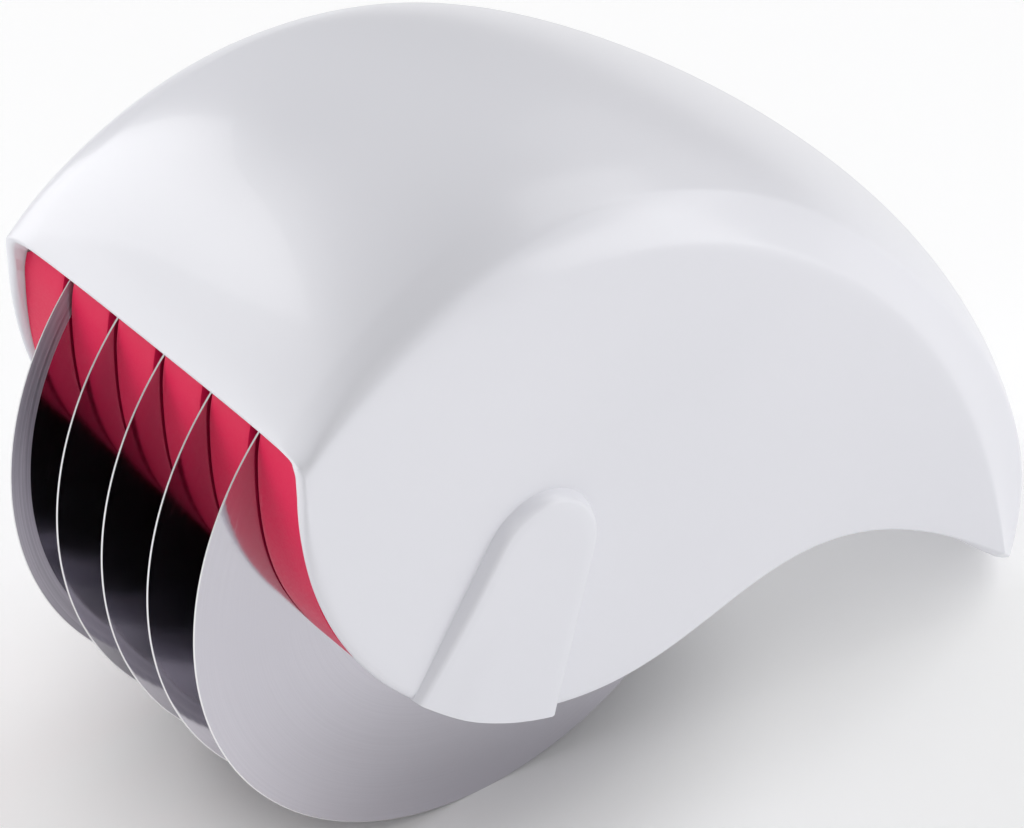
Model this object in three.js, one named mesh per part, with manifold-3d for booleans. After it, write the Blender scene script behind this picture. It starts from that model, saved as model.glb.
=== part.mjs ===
// Palm-held rolling herb cutter: a white housing, a red comb and a removable roller of five blades.
// Millimetres. X runs along the axle, +Y from the blades to the tail, +Z up.
// Everything is drawn about the axle line, then moved so that the part stands on Z = 0.
import * as THREE from 'three';
import Module from 'manifold-3d';

const wasm = await Module();
wasm.setup();

// Blades
const bladeCount = 5;
const bladePitch = 10;
const bladeRadius = 44;
const bladeThickness = 0.8;
const bevelWidth = 2.6;
const edgeThickness = 0.2;
const bladeSegments = 60;

// Axle stack
const axleRadius = 2.5;
const spacerRadius = 8;
const washerRadius = 7;
const washerThickness = 1.2;
const nutAcrossFlats = 9;
const clipRadius = 4.6;
const clipThickness = 0.6;
const roundSegments = 24;
const pegSegments = 5;

// Housing shell
const wall = 2;
const cheekX = 32.2;

// Raised bosses, and the channels behind them that guide the shoes
const bossHeight = 1.8;
const bossRadius = 8.4;
const bossCentreY = -0.25;
const bossCentreZ = 2.8;
const bossRimWidth = 2.2;
const channelDepth = 2.2;
const slideLean = THREE.MathUtils.degToRad(23.7);
const channelTaper = THREE.MathUtils.degToRad(9.2);
const legReach = 45;

// Bearing shoes
const shoeThickness = 2.8;
const shoeDrop = 13;

// Comb
const combRecess = 1.3;
const combThickness = 2.6;
const barHalfWidth = 28.4;
const slotLeft = 1.3;
const slotRight = 0.75;
const slotTipGap = 0.5;
const pegRadius = 2;
const pegLength = 1.1;
const combEnd = 0.56;
const barEnd = 0.06;

// Clearances
const fitGap = 0.3;
const runGap = 0.5;

// Sampling of the shell
const stations = 44;
const cheekCells = 3;
const bandCells = 3;
const crownCells = 7;

// Rails of the shell in blade radii, front rim to tail: top centre line, shoulder line, top of the cheek
const tableZ = -bladeRadius * Math.cos(Math.PI / bladeSegments);
const centreRail = inRadii([[-0.7955, 0.7], [-0.2386, 1.3955], [0.3864, 1.4614], [1.1977, 0.8864],
  [1.9114, 0.3977], [2.1432, -0.1114], [2.0682, -1.0123]]);
const shoulderRail = inRadii([[-0.7955, 0.6927], [-0.3796, 1.1561], [0.948, 1.5923], [1.3832, 0.3147],
  [2.1891, -0.235], [1.9227, -0.9045]]);
const edgeRail = inRadii([[-0.7977, 0.6045], [-0.0136, 1.1818], [0.6023, 1.0023], [1.175, 0.6295],
  [1.6727, 0.1614], [1.8455, -0.8227]]);
// How far the shoulder line stands in from the cheek, in shares of the half width
const shoulderInset = [0.0016, -0.0352, 0.3908, -0.0544, 0.1576, 0.0766];
// How far round the roll goes before the shoulder: 1 turns it flush into the cheek
const rollReach = [0.78, 0.974, 0.996, 0.855, 0.835, 0.89, 0.938];
// How square the roll is: 2 is an ellipse
const rollPower = [3.1, 2.97, 2.05, 1.77, 2.07, 2.54, 2.79];
// How much the band between shoulder and cheek bulges: 1 rolls on into the cheek, below 0 is hollow
const bandBulge = [1, 0.844, 0.074, -0.117, -0.125, -0.142];
// Lower edge of the cheek in blade radii: front edge to belly, then belly to tail
const frontEdge = inRadii([[-0.7977, 0.5909], [-0.8545, -0.0045], [-0.3432, -0.559], [0.2727, -0.559]]);
const bellyEdge = inRadii([[0.2727, -0.559], [0.7977, -0.559], [0.9955, -0.1114], [1.8455, -0.8318]]);
const bellyStation = 0.5;

// Derived sizes
const innerX = cheekX - wall;
const channelFloorX = innerX + channelDepth;
const boreRadius = axleRadius + fitGap;
const firstBladeX = -bladePitch * (bladeCount - 1) / 2;
const lastBladeX = -firstBladeX;
const spacerLength = bladePitch - bladeThickness - 2 * fitGap;
const clipX = channelFloorX - fitGap - clipThickness / 2;
const shoeX = clipX - clipThickness / 2 - fitGap - shoeThickness / 2;
const axleEndX = channelFloorX - fitGap;
const washerX = lastBladeX + bladeThickness / 2 + fitGap + washerThickness / 2;
const nutStartX = washerX + washerThickness / 2 + fitGap;
const nutEndX = shoeX - shoeThickness / 2 - runGap;
const combHalfWidth = innerX - fitGap;

// Materials
const white = new THREE.MeshStandardMaterial({ color: 0xf1f1f4, roughness: 0.25, metalness: 0 });
const red = new THREE.MeshStandardMaterial({ color: 0xc81a40, roughness: 0.4, metalness: 0 });
const bladeSteel = new THREE.MeshStandardMaterial({ color: 0xc4c6ca, roughness: 0.25, metalness: 1 });
const plainSteel = new THREE.MeshStandardMaterial({ color: 0x9da0a5, roughness: 0.35, metalness: 1 });
const greyPlastic = new THREE.MeshStandardMaterial({ color: 0xd9dadc, roughness: 0.5, metalness: 0 });

// Points of a rail in millimetres, from points in blade radii
function inRadii(points) {
  return points.map(([y, z]) => [y * bladeRadius, z * bladeRadius]);
}

// Point at t on the Bezier curve of any number of control points
function bezier(points, t) {
  let row = points.map((p) => (Array.isArray(p) ? p : [p]));
  while (row.length > 1) {
    row = row.slice(1).map((p, i) => p.map((value, k) => row[i][k] + (value - row[i][k]) * t));
  }
  return row[0];
}

// Point on the lower edge of the cheek at station t
function lowerEdge(t) {
  if (t < bellyStation) return bezier(frontEdge, t / bellyStation);
  return bezier(bellyEdge, (t - bellyStation) / (1 - bellyStation));
}

// Unit normal of a plane curve at t, to the right of its direction of travel
function curveNormal(curve, t) {
  const step = 0.001;
  const a = curve(Math.max(0, t - step));
  const b = curve(Math.min(1, t + step));
  const length = Math.hypot(b[0] - a[0], b[1] - a[1]);
  return [(b[1] - a[1]) / length, -(b[0] - a[0]) / length];
}

// Share of the roll's drop at share s of its width
function rollDrop(s, reach, power) {
  const arc = (x) => 1 - (1 - Math.min(x, 0.99999) ** power) ** (1 / power);
  return arc(reach * s) / arc(reach);
}

// Half a cross-section of the shell at station t, from the lower edge of the cheek to the top centre line
function halfSection(t) {
  const centre = bezier(centreRail, t);
  const shoulder = bezier(shoulderRail, t);
  const shoulderX = cheekX * (1 - bezier(shoulderInset, t)[0]);
  const edge = bezier(edgeRail, t);
  const lower = lowerEdge(t);
  const reach = bezier(rollReach, t)[0];
  const power = bezier(rollPower, t)[0];
  const section = [];
  for (let i = 0; i <= cheekCells; i += 1) {
    const w = i / cheekCells;
    section.push([cheekX, lower[0] + (edge[0] - lower[0]) * w, lower[1] + (edge[1] - lower[1]) * w]);
  }
  for (let i = 1; i <= bandCells; i += 1) {
    const w = i / bandCells;
    const lift = 2 * w * (1 - w) * bezier(bandBulge, t)[0];
    const across = w - lift / 2;
    const up = w + lift / 10;
    section.push([cheekX + (shoulderX - cheekX) * across, edge[0] + (shoulder[0] - edge[0]) * up,
      edge[1] + (shoulder[1] - edge[1]) * up]);
  }
  for (let i = crownCells - 1; i >= 0; i -= 1) {
    const s = Math.sin(i / crownCells * Math.PI / 2);
    const drop = rollDrop(s, reach, power);
    section.push([shoulderX * s, centre[0] + (shoulder[0] - centre[0]) * drop,
      centre[1] + (shoulder[1] - centre[1]) * drop]);
  }
  return section;
}

// Grid of outer points over the whole shell, one row a station, near lower edge to far lower edge
function shellGrid() {
  const rows = [];
  for (let i = 0; i <= stations; i += 1) {
    const half = halfSection(i / stations);
    const far = half.slice(0, -1).reverse().map((p) => [-p[0], p[1], p[2]]);
    rows.push([...half, ...far].map((p) => new THREE.Vector3(...p)));
  }
  return rows;
}

// The same grid moved inwards by a depth along its own normals
function innerGrid(rows, depth) {
  const last = rows.length - 1;
  const end = rows[0].length - 1;
  return rows.map((row, i) => row.map((point, j) => {
    const along = rows[Math.min(i + 1, last)][j].clone().sub(rows[Math.max(i - 1, 0)][j]);
    const across = row[Math.min(j + 1, end)].clone().sub(row[Math.max(j - 1, 0)]);
    const normal = new THREE.Vector3().crossVectors(along, across).normalize();
    if (j <= cheekCells) normal.set(1, 0, 0);
    if (j >= end - cheekCells) normal.set(-1, 0, 0);
    return point.clone().addScaledVector(normal, -depth);
  }));
}

// Closed body between an outer and an inner grid of the same size
function closedSheet(outer, inner) {
  const rowCount = outer.length;
  const columnCount = outer[0].length;
  const points = [...outer.flat(), ...inner.flat()];
  const index = [];
  const at = (layer, i, j) => layer * rowCount * columnCount + i * columnCount + j;
  const quad = (a, b, c, d) => index.push(a, b, c, a, c, d);
  for (let i = 0; i < rowCount - 1; i += 1) {
    for (let j = 0; j < columnCount - 1; j += 1) {
      quad(at(0, i, j), at(0, i + 1, j), at(0, i + 1, j + 1), at(0, i, j + 1));
      quad(at(1, i, j), at(1, i, j + 1), at(1, i + 1, j + 1), at(1, i + 1, j));
    }
    const end = columnCount - 1;
    quad(at(0, i, 0), at(1, i, 0), at(1, i + 1, 0), at(0, i + 1, 0));
    quad(at(0, i, end), at(0, i + 1, end), at(1, i + 1, end), at(1, i, end));
  }
  for (let j = 0; j < columnCount - 1; j += 1) {
    const end = rowCount - 1;
    quad(at(0, 0, j), at(0, 0, j + 1), at(1, 0, j + 1), at(1, 0, j));
    quad(at(0, end, j), at(1, end, j), at(1, end, j + 1), at(0, end, j + 1));
  }
  const geometry = new THREE.BufferGeometry();
  geometry.setAttribute('position', new THREE.Float32BufferAttribute(points.flatMap((p) => p.toArray()), 3));
  geometry.setIndex(index);
  return geometry;
}

// Manifold of a geometry, with its points merged by position
function toManifold(geometry) {
  const position = geometry.getAttribute('position');
  const index = geometry.index ? Array.from(geometry.index.array) : [...Array(position.count).keys()];
  const seen = new Map();
  const vertices = [];
  const remap = [];
  for (let i = 0; i < position.count; i += 1) {
    const p = [position.getX(i), position.getY(i), position.getZ(i)];
    const key = p.map((v) => Math.round(v * 1e5)).join(',');
    if (!seen.has(key)) {
      seen.set(key, vertices.length / 3);
      vertices.push(...p);
    }
    remap.push(seen.get(key));
  }
  const triangles = [];
  for (let i = 0; i < index.length; i += 3) {
    const [a, b, c] = [remap[index[i]], remap[index[i + 1]], remap[index[i + 2]]];
    if (a !== b && b !== c && a !== c) triangles.push(a, b, c);
  }
  const mesh = new wasm.Mesh({
    numProp: 3,
    vertProperties: new Float32Array(vertices),
    triVerts: new Uint32Array(triangles),
  });
  return new wasm.Manifold(mesh);
}

// Geometry of a manifold
function fromManifold(solid) {
  const mesh = solid.getMesh();
  const geometry = new THREE.BufferGeometry();
  geometry.setAttribute('position', new THREE.Float32BufferAttribute(mesh.vertProperties, 3));
  geometry.setIndex(Array.from(mesh.triVerts));
  return geometry;
}

// Solid of a shape drawn in (Y, Z), standing from x0 to x1 along the axle
function prism(shape, x0, x1, curveSegments = 10) {
  const geometry = new THREE.ExtrudeGeometry(shape, { depth: x1 - x0, bevelEnabled: false, curveSegments });
  const axes = new THREE.Matrix4().makeBasis(
    new THREE.Vector3(0, 1, 0), new THREE.Vector3(0, 0, 1), new THREE.Vector3(1, 0, 0));
  geometry.applyMatrix4(axes);
  return geometry.translate(x0, 0, 0);
}

// Ring or disc about the axle, from a closed outline of (radius, x) points
function turned(outline, segments) {
  const profile = [...outline, outline[0]].map(([r, x]) => new THREE.Vector2(r, x));
  const geometry = new THREE.LatheGeometry(profile, segments, Math.PI / segments);
  return geometry.rotateZ(-Math.PI / 2);
}

// Plain ring about the axle
function ring(inner, outer, x0, x1, segments) {
  return turned([[inner, x0], [outer, x0], [outer, x1], [inner, x1]], segments);
}

// Tapered inverted U round the boss centre: a round head and two legs that spread towards the exit
function taperedU(radius, legLength) {
  const frontLeg = slideLean + channelTaper;
  const rearLeg = slideLean - channelTaper;
  const frontTurn = Math.PI - frontLeg;
  const rearTurn = -rearLeg;
  const leg = (turn, lean, down) => [
    bossCentreY + radius * Math.cos(turn) - down * Math.sin(lean),
    bossCentreZ + radius * Math.sin(turn) - down * Math.cos(lean)];
  const shape = new THREE.Shape();
  shape.moveTo(...leg(rearTurn, rearLeg, legLength));
  shape.lineTo(...leg(rearTurn, rearLeg, 0));
  shape.absarc(bossCentreY, bossCentreZ, radius, rearTurn, frontTurn, false);
  shape.lineTo(...leg(frontTurn, frontLeg, legLength));
  shape.closePath();
  return shape;
}

// Side outline of the shell, used to trim the bosses
function sideOutline() {
  const points = [];
  for (let i = 0; i <= stations; i += 1) points.push(new THREE.Vector2(...lowerEdge(i / stations)));
  for (let i = stations; i >= 0; i -= 1) points.push(new THREE.Vector2(...bezier(edgeRail, i / stations)));
  return new THREE.Shape(points);
}

// Place of the comb's pegs, half way through the comb's thickness
function pegPlace() {
  const t = combEnd / 2;
  const depth = combRecess + combThickness / 2;
  const edge = bezier(frontEdge, t);
  const normal = curveNormal((u) => bezier(frontEdge, u), t);
  return [edge[0] - normal[0] * depth, edge[1] - normal[1] * depth];
}

// Round peg along the axle direction, at the comb's peg place
function pegRound(radius) {
  const shape = new THREE.Shape();
  shape.absarc(...pegPlace(), radius, 0, Math.PI * 2, false);
  return shape;
}

// White shell with its bosses, channels, peg sockets and the flat foot of the tail
function makeHousing() {
  const outer = shellGrid();
  let body = toManifold(closedSheet(outer, innerGrid(outer, wall)));
  const trim = sideOutline();
  for (const side of [-1, 1]) {
    const span = (from, to) => (side > 0 ? [from, to] : [-to, -from]);
    const boss = toManifold(prism(taperedU(bossRadius, legReach), ...span(innerX, cheekX + bossHeight)));
    const cheek = toManifold(prism(trim, ...span(innerX - wall, cheekX + 2 * bossHeight)));
    const channel = taperedU(bossRadius - bossRimWidth, legReach);
    const socketEnd = combHalfWidth + pegLength + fitGap;
    body = body.add(boss.intersect(cheek));
    body = body.subtract(toManifold(prism(channel, ...span(innerX - wall, channelFloorX))));
    const socket = prism(pegRound(pegRadius + fitGap), ...span(innerX - wall, socketEnd), pegSegments);
    body = body.subtract(toManifold(socket));
  }
  const below = new THREE.BoxGeometry(4 * cheekX, 4 * bladeRadius, bladeRadius);
  below.translate(0, bladeRadius, tableZ - bladeRadius / 2);
  return fromManifold(body.subtract(toManifold(below)));
}

// Outline of a strip that follows a plane curve from t0 to t1, between two depths inside it
function strip(curve, t0, t1, depth0, depth1, steps) {
  const side = (depth) => {
    const points = [];
    for (let i = 0; i <= steps; i += 1) {
      const t = t0 + (t1 - t0) * i / steps;
      const normal = curveNormal(curve, t);
      const point = curve(t);
      points.push(new THREE.Vector2(point[0] - normal[0] * depth, point[1] - normal[1] * depth));
    }
    return points;
  };
  return [side(depth0), side(depth1)];
}

// Space just under the crown behind the front rim, one fit gap clear of the shell
function spaceUnderCrown() {
  const rows = Math.ceil(barEnd * stations) + 2;
  const under = innerGrid(shellGrid(), wall + fitGap).slice(0, rows);
  const roof = under.map((row) => row.slice(cheekCells, row.length - cheekCells));
  roof.unshift(roof[0].map((p) => p.clone().setY(p.y - combRecess)));
  const floor = roof.map((row) => row.map((p) => p.clone().setZ(p.z - 4 * combThickness)));
  return toManifold(closedSheet(roof, floor));
}

// Red comb: an apron behind the front edge of the cheeks, a bar behind the rim, and a slot for each blade
function makeComb() {
  const apronDepth = combRecess + combThickness;
  const apronSides = strip((u) => bezier(frontEdge, u), 0, combEnd, combRecess, apronDepth, 12);
  const barDepth = wall + fitGap + combThickness;
  const barSides = strip((u) => bezier(centreRail, u), 0, barEnd, -wall, -barDepth, 6);
  const apron = new THREE.Shape([...apronSides[0], ...apronSides[1].reverse()]);
  const barBack = [...barSides[1].reverse(), apronSides[1].at(-1)];
  const bar = new THREE.Shape([apronSides[0][0], ...barSides[0], ...barBack]);
  let body = toManifold(prism(apron, -combHalfWidth, combHalfWidth));
  body = body.add(toManifold(prism(bar, -barHalfWidth, barHalfWidth)).intersect(spaceUnderCrown()));
  for (let i = 0; i < bladeCount; i += 1) {
    const x = firstBladeX + i * bladePitch;
    const slot = [[0, x - slotLeft], [bladeRadius + slotTipGap, x - slotLeft],
      [bladeRadius + slotTipGap, x + slotRight], [0, x + slotRight]];
    body = body.subtract(toManifold(turned(slot, bladeSegments)));
  }
  for (const side of [-1, 1]) {
    const from = combHalfWidth - combThickness;
    const to = combHalfWidth + pegLength;
    const peg = prism(pegRound(pegRadius), side > 0 ? from : -to, side > 0 ? to : -from, pegSegments);
    body = body.add(toManifold(peg));
  }
  return fromManifold(body);
}

// One blade, ground on the face towards side
function makeBlade(x, side) {
  const face = bladeThickness / 2;
  const outline = [[boreRadius, x - face], [bladeRadius - (side < 0 ? bevelWidth : 0), x - face]];
  if (side < 0) outline.push([bladeRadius, x + face - edgeThickness]);
  if (side > 0) outline.push([bladeRadius, x - face + edgeThickness]);
  outline.push([bladeRadius - (side > 0 ? bevelWidth : 0), x + face], [boreRadius, x + face]);
  return turned(outline, bladeSegments);
}

// Hexagonal nut with its bore
function makeNut(x0, x1) {
  const shape = new THREE.Shape();
  const corner = nutAcrossFlats / 2 / Math.cos(Math.PI / 6);
  for (let i = 0; i < 6; i += 1) {
    const turn = i * Math.PI / 3;
    const point = [corner * Math.cos(turn), corner * Math.sin(turn)];
    if (i === 0) shape.moveTo(...point);
    else shape.lineTo(...point);
  }
  shape.closePath();
  shape.holes.push(new THREE.Path().absarc(0, 0, boreRadius, 0, Math.PI * 2, true));
  return fromManifold(toManifold(prism(shape, x0, x1, roundSegments / 2)));
}

// Bearing shoe: a block that fills the head of the channel, with a bore on the axle line
function makeShoe(x) {
  const radius = bossRadius - bossRimWidth - fitGap;
  const shape = taperedU(radius, shoeDrop);
  shape.holes.push(new THREE.Path().absarc(0, 0, boreRadius, 0, Math.PI * 2, true));
  const block = prism(shape, x - shoeThickness / 2, x + shoeThickness / 2, roundSegments / 2);
  return fromManifold(toManifold(block));
}

// Steel rod on the axle line
function makeAxle() {
  const geometry = new THREE.CylinderGeometry(axleRadius, axleRadius, 2 * axleEndX, roundSegments);
  return geometry.rotateZ(-Math.PI / 2);
}

const model = new THREE.Group();
const addNode = (name, geometry, material) => {
  const mesh = new THREE.Mesh(geometry, material);
  mesh.name = name;
  model.add(mesh);
};

addNode('housing', makeHousing(), white);
addNode('stripper_comb', makeComb(), red);
addNode('axle', makeAxle(), plainSteel);
for (let i = 0; i < bladeCount; i += 1) {
  const x = firstBladeX + i * bladePitch;
  addNode(`blade_${i + 1}`, makeBlade(x, i === 0 ? 1 : -1), bladeSteel);
  if (i < bladeCount - 1) {
    const from = x + bladeThickness / 2 + fitGap;
    const sleeve = ring(boreRadius, spacerRadius, from, from + spacerLength, roundSegments);
    addNode(`spacer_${i + 1}`, sleeve, greyPlastic);
  }
}
for (const [side, word] of [[-1, 'left'], [1, 'right']]) {
  const half = washerThickness / 2;
  const washer = ring(boreRadius, washerRadius, side * washerX - half, side * washerX + half, roundSegments);
  const clipHalf = clipThickness / 2;
  const clip = ring(boreRadius, clipRadius, side * clipX - clipHalf, side * clipX + clipHalf, roundSegments);
  addNode(`clamp_washer_${word}`, washer, plainSteel);
  const nut = side > 0 ? makeNut(nutStartX, nutEndX) : makeNut(-nutEndX, -nutStartX);
  addNode(`clamp_nut_${word}`, nut, plainSteel);
  addNode(`bearing_shoe_${word}`, makeShoe(side * shoeX), greyPlastic);
  addNode(`axle_clip_${word}`, clip, plainSteel);
}

// Stand the part on Z = 0, centred in X and Y
const bounds = new THREE.Box3().setFromObject(model);
model.position.set(0, -(bounds.min.y + bounds.max.y) / 2, -bounds.min.z);
const part = new THREE.Group();
part.add(model);
export default part;
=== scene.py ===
"""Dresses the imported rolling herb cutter: a white shell, a red comb and a roller of five ground blades.

Sizes are in millimetres about the axle line: X along the axle, +Y from the blades to the tail, +Z up.
to_part() moves finished points into the part's own frame, in metres.
"""

import logging
import math
from dataclasses import dataclass, field
from enum import Enum

import bmesh
import bpy
import numpy as np
from mathutils import Matrix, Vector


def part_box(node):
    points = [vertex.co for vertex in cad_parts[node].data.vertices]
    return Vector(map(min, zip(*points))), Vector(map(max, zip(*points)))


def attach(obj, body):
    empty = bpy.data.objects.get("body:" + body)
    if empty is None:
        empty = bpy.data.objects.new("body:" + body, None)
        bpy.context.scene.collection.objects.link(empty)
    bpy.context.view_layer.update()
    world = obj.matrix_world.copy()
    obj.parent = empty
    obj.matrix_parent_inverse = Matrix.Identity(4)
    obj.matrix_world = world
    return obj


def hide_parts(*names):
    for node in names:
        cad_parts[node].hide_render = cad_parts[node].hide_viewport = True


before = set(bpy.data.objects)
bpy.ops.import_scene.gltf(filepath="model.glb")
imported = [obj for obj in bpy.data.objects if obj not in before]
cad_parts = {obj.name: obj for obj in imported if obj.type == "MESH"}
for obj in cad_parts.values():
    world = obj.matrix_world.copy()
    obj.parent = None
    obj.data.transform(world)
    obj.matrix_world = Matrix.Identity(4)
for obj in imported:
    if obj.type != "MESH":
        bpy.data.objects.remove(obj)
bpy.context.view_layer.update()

LOG = logging.getLogger("herb_cutter")
Array = np.ndarray
Span = tuple[float, float]
Points = tuple[Span, ...]
Colour = tuple[float, float, float]
Socket = bpy.types.NodeSocket
MILLIMETRE = 0.001  # in metres
FULL_TURN = 2.0 * math.pi
CURVE_STEP = 0.001  # step along a rail that gives its direction
TINY = 1e-6  # least value to divide by
WHOLE = (0.0, 1.0)
NOISE_SPAN = (0.3, 0.7)  # where most values of a noise lie
NOISE_MIDDLE = 0.5
BLACK = (0.0, 0.0, 0.0)
WHITE = (1.0, 1.0, 1.0)


class Side(Enum):
    """Left or right of the part, seen from in front of the blades; the value is the sign of X."""

    LEFT = -1
    RIGHT = 1

    @property
    def word(self) -> str:
        """The side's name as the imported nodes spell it."""
        return self.name.lower()


class Join(Enum):
    """How a tool solid is combined with a body."""

    ADD = "UNION"
    CUT = "DIFFERENCE"


def axle_place() -> Array:
    """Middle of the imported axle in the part's frame, in metres."""
    low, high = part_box("axle")
    return (np.array(low) + np.array(high)) / 2.0


AXLE = axle_place()


def to_part(points: Array) -> Array:
    """Points in the part's frame, in metres, from points about the axle line in millimetres."""
    return np.asarray(points, float).reshape(-1, 3) * MILLIMETRE + AXLE


def bezier(controls: Array, t: Array) -> Array:
    """Bezier curve by repeated linear mixing of neighbouring control points.

    Args:
        controls: control points, one a row.
        t: stations from 0 to 1.

    Returns:
        One point of the curve for each station.
    """
    row = np.repeat(np.asarray(controls, float).reshape(len(controls), 1, -1), len(t), axis=1)
    share = np.asarray(t, float)[None, :, None]
    while len(row) > 1:
        row = row[:-1] + (row[1:] - row[:-1]) * share
    return row[0]


def smoothstep(low: float, high: float, value: Array) -> Array:
    """Cubic step 3u^2 - 2u^3 from 0 at low to 1 at high."""
    u = np.clip((value - low) / (high - low), 0.0, 1.0)
    return u * u * (3.0 - 2.0 * u)


def between(ends: Span, share: Array) -> Array:
    """Value at a share of the way from the first end to the second."""
    return ends[0] + (ends[1] - ends[0]) * share


def unit(vectors: Array) -> Array:
    """Vectors, one a row, divided by their lengths."""
    return vectors / np.maximum(np.linalg.norm(vectors, axis=-1, keepdims=True), TINY)


def averaged(before: Array, own: Array, after: Array) -> Array:
    """Mean (before + 2 own + after) / 4 of neighbouring points."""
    return (before + 2.0 * own + after) / 4.0


def angles(count: int) -> Array:
    """Angles of a full turn in equal steps, in radians."""
    return np.arange(count) * FULL_TURN / count


def circle(count: int) -> Array:
    """Points (cos a, sin a) round a unit circle in equal steps."""
    turn = angles(count)
    return np.stack([np.cos(turn), np.sin(turn)], axis=1)


def at_x(loop: Array, x: float | Array) -> Array:
    """Points (x, Y, Z) of a loop of (Y, Z) points, with one x for all or one for each."""
    return np.column_stack([np.broadcast_to(x, len(loop)), loop])


def facing(azimuth: float, elevation: float) -> Array:
    """Axes of a camera or light that faces the part.

    With azimuth a and elevation e, right = (cos a, sin a, 0), up = back x right, and
    back = (cos e sin a, -cos e cos a, sin e), which leads away from the part.

    Args:
        azimuth: degrees from the front towards the right.
        elevation: degrees above the floor.

    Returns:
        Columns right, up and back.
    """
    a, e = math.radians(azimuth), math.radians(elevation)
    right = np.array([math.cos(a), math.sin(a), 0.0])
    back = np.array([math.cos(e) * math.sin(a), -math.cos(e) * math.cos(a), math.sin(e)])
    return np.stack([right, np.cross(back, right), back], axis=1)


def put(data: bpy.types.ID, axes: Array, place: Array) -> bpy.types.Object:
    """Links a camera or light to the scene.

    Args:
        data: the camera or light, whose name the object takes.
        axes: columns right, up and back.
        place: its place in metres.

    Returns:
        The linked object.
    """
    pose = np.eye(4)
    pose[:3, :3] = axes
    pose[:3, 3] = place
    thing = bpy.data.objects.new(data.name, data)
    thing.matrix_world = Matrix(pose.tolist())
    bpy.context.scene.collection.objects.link(thing)
    return thing


def grid_quads(rows: int, columns: int, loop_rows: bool = False, loop_columns: bool = False) -> Array:
    """Quads between neighbouring points of a grid that is stored row by row.

    Args:
        rows: number of rows of points.
        columns: number of points in a row.
        loop_rows: whether the last row joins the first.
        loop_columns: whether the last column joins the first.

    Returns:
        Point numbers, four a quad.
    """
    i, j = np.meshgrid(np.arange(rows if loop_rows else rows - 1),
                       np.arange(columns if loop_columns else columns - 1), indexing="ij")
    down = (i + 1) % rows
    right = (j + 1) % columns
    own, below = i * columns, down * columns
    return np.stack([own + j, below + j, below + right, own + right], axis=-1).reshape(-1, 4)


def new_piece(name: str, points: Array, quads: Array, caps: tuple[Array, ...] = ()) -> bpy.types.Object:
    """Closed mesh object at the origin, with its faces turned outwards.

    Args:
        name: name of the object and its mesh.
        points: points about the axle line, in millimetres.
        quads: point numbers, four a face.
        caps: point numbers of each many-sided end face.

    Returns:
        The linked object.
    """
    mesh = bpy.data.meshes.new(name)
    mesh.from_pydata(to_part(points).tolist(), [], quads.tolist() + [cap.tolist() for cap in caps])
    turned = bmesh.new()
    turned.from_mesh(mesh)
    loose = [v for v in turned.verts if not v.link_faces]
    bmesh.ops.delete(turned, geom=loose, context="VERTS")
    bmesh.ops.recalc_face_normals(turned, faces=turned.faces)
    turned.to_mesh(mesh)
    turned.free()
    piece = bpy.data.objects.new(name, mesh)
    bpy.context.scene.collection.objects.link(piece)
    return piece


def shade(piece: bpy.types.Object, crease: float) -> None:
    """Smooth shading, with a hard edge wherever two faces meet at a steep angle.

    Args:
        piece: the mesh object.
        crease: angle in degrees from which an edge is hard.
    """
    mesh = piece.data
    mesh.polygons.foreach_set("use_smooth", np.ones(len(mesh.polygons), bool))
    mesh.set_sharp_from_angle(angle=math.radians(crease))


def apply_modifiers(piece: bpy.types.Object) -> None:
    """Puts the result of a piece's modifiers into its mesh.

    Args:
        piece: the mesh object, which is left without modifiers.
    """
    graph = bpy.context.evaluated_depsgraph_get()
    mesh = bpy.data.meshes.new_from_object(piece.evaluated_get(graph))
    old = piece.data
    piece.modifiers.clear()
    piece.data = mesh
    bpy.data.meshes.remove(old)
    mesh.name = piece.name


def combine(body: bpy.types.Object, tools: list[tuple[bpy.types.Object, Join]]) -> None:
    """Adds solids to a body or cuts them out of it, in order, and removes the tool solids.

    Args:
        body: the solid that is changed.
        tools: solids, each with the way it is combined.
    """
    for tool, way in tools:
        step = body.modifiers.new(tool.name, "BOOLEAN")
        step.operation = way.value
        step.solver = "MANIFOLD"
        step.object = tool
    apply_modifiers(body)
    for tool, _ in tools:
        mesh = tool.data
        bpy.data.objects.remove(tool)
        bpy.data.meshes.remove(mesh)


def dress(piece: bpy.types.Object, crease: float, materials: tuple[bpy.types.Material, ...],
          body: str, node: str) -> None:
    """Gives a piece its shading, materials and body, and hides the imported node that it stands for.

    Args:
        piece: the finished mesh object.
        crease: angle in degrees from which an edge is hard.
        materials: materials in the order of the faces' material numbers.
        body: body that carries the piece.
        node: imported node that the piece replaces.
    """
    shade(piece, crease)
    faces = np.zeros(len(piece.data.polygons), np.int32)
    piece.data.polygons.foreach_get("material_index", faces)
    piece.data.materials.clear()
    for material in materials:
        piece.data.materials.append(material)
    piece.data.polygons.foreach_set("material_index", np.minimum(faces, len(materials) - 1))
    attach(piece, body)
    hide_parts(node)
    LOG.info("%s: %d faces on %s, in place of %s", piece.name, len(faces), body, node)


def loops_solid(name: str, loops: Array) -> bpy.types.Object:
    """Solid between a stack of closed loops with equal numbers of points, capped at both ends.

    Args:
        name: name of the object.
        loops: array of loops, each an array of points.

    Returns:
        The closed solid.
    """
    levels, count = loops.shape[:2]
    quads = grid_quads(levels, count, loop_columns=True)
    return new_piece(name, loops, quads, (np.arange(count), np.arange(count) + (levels - 1) * count))


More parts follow.
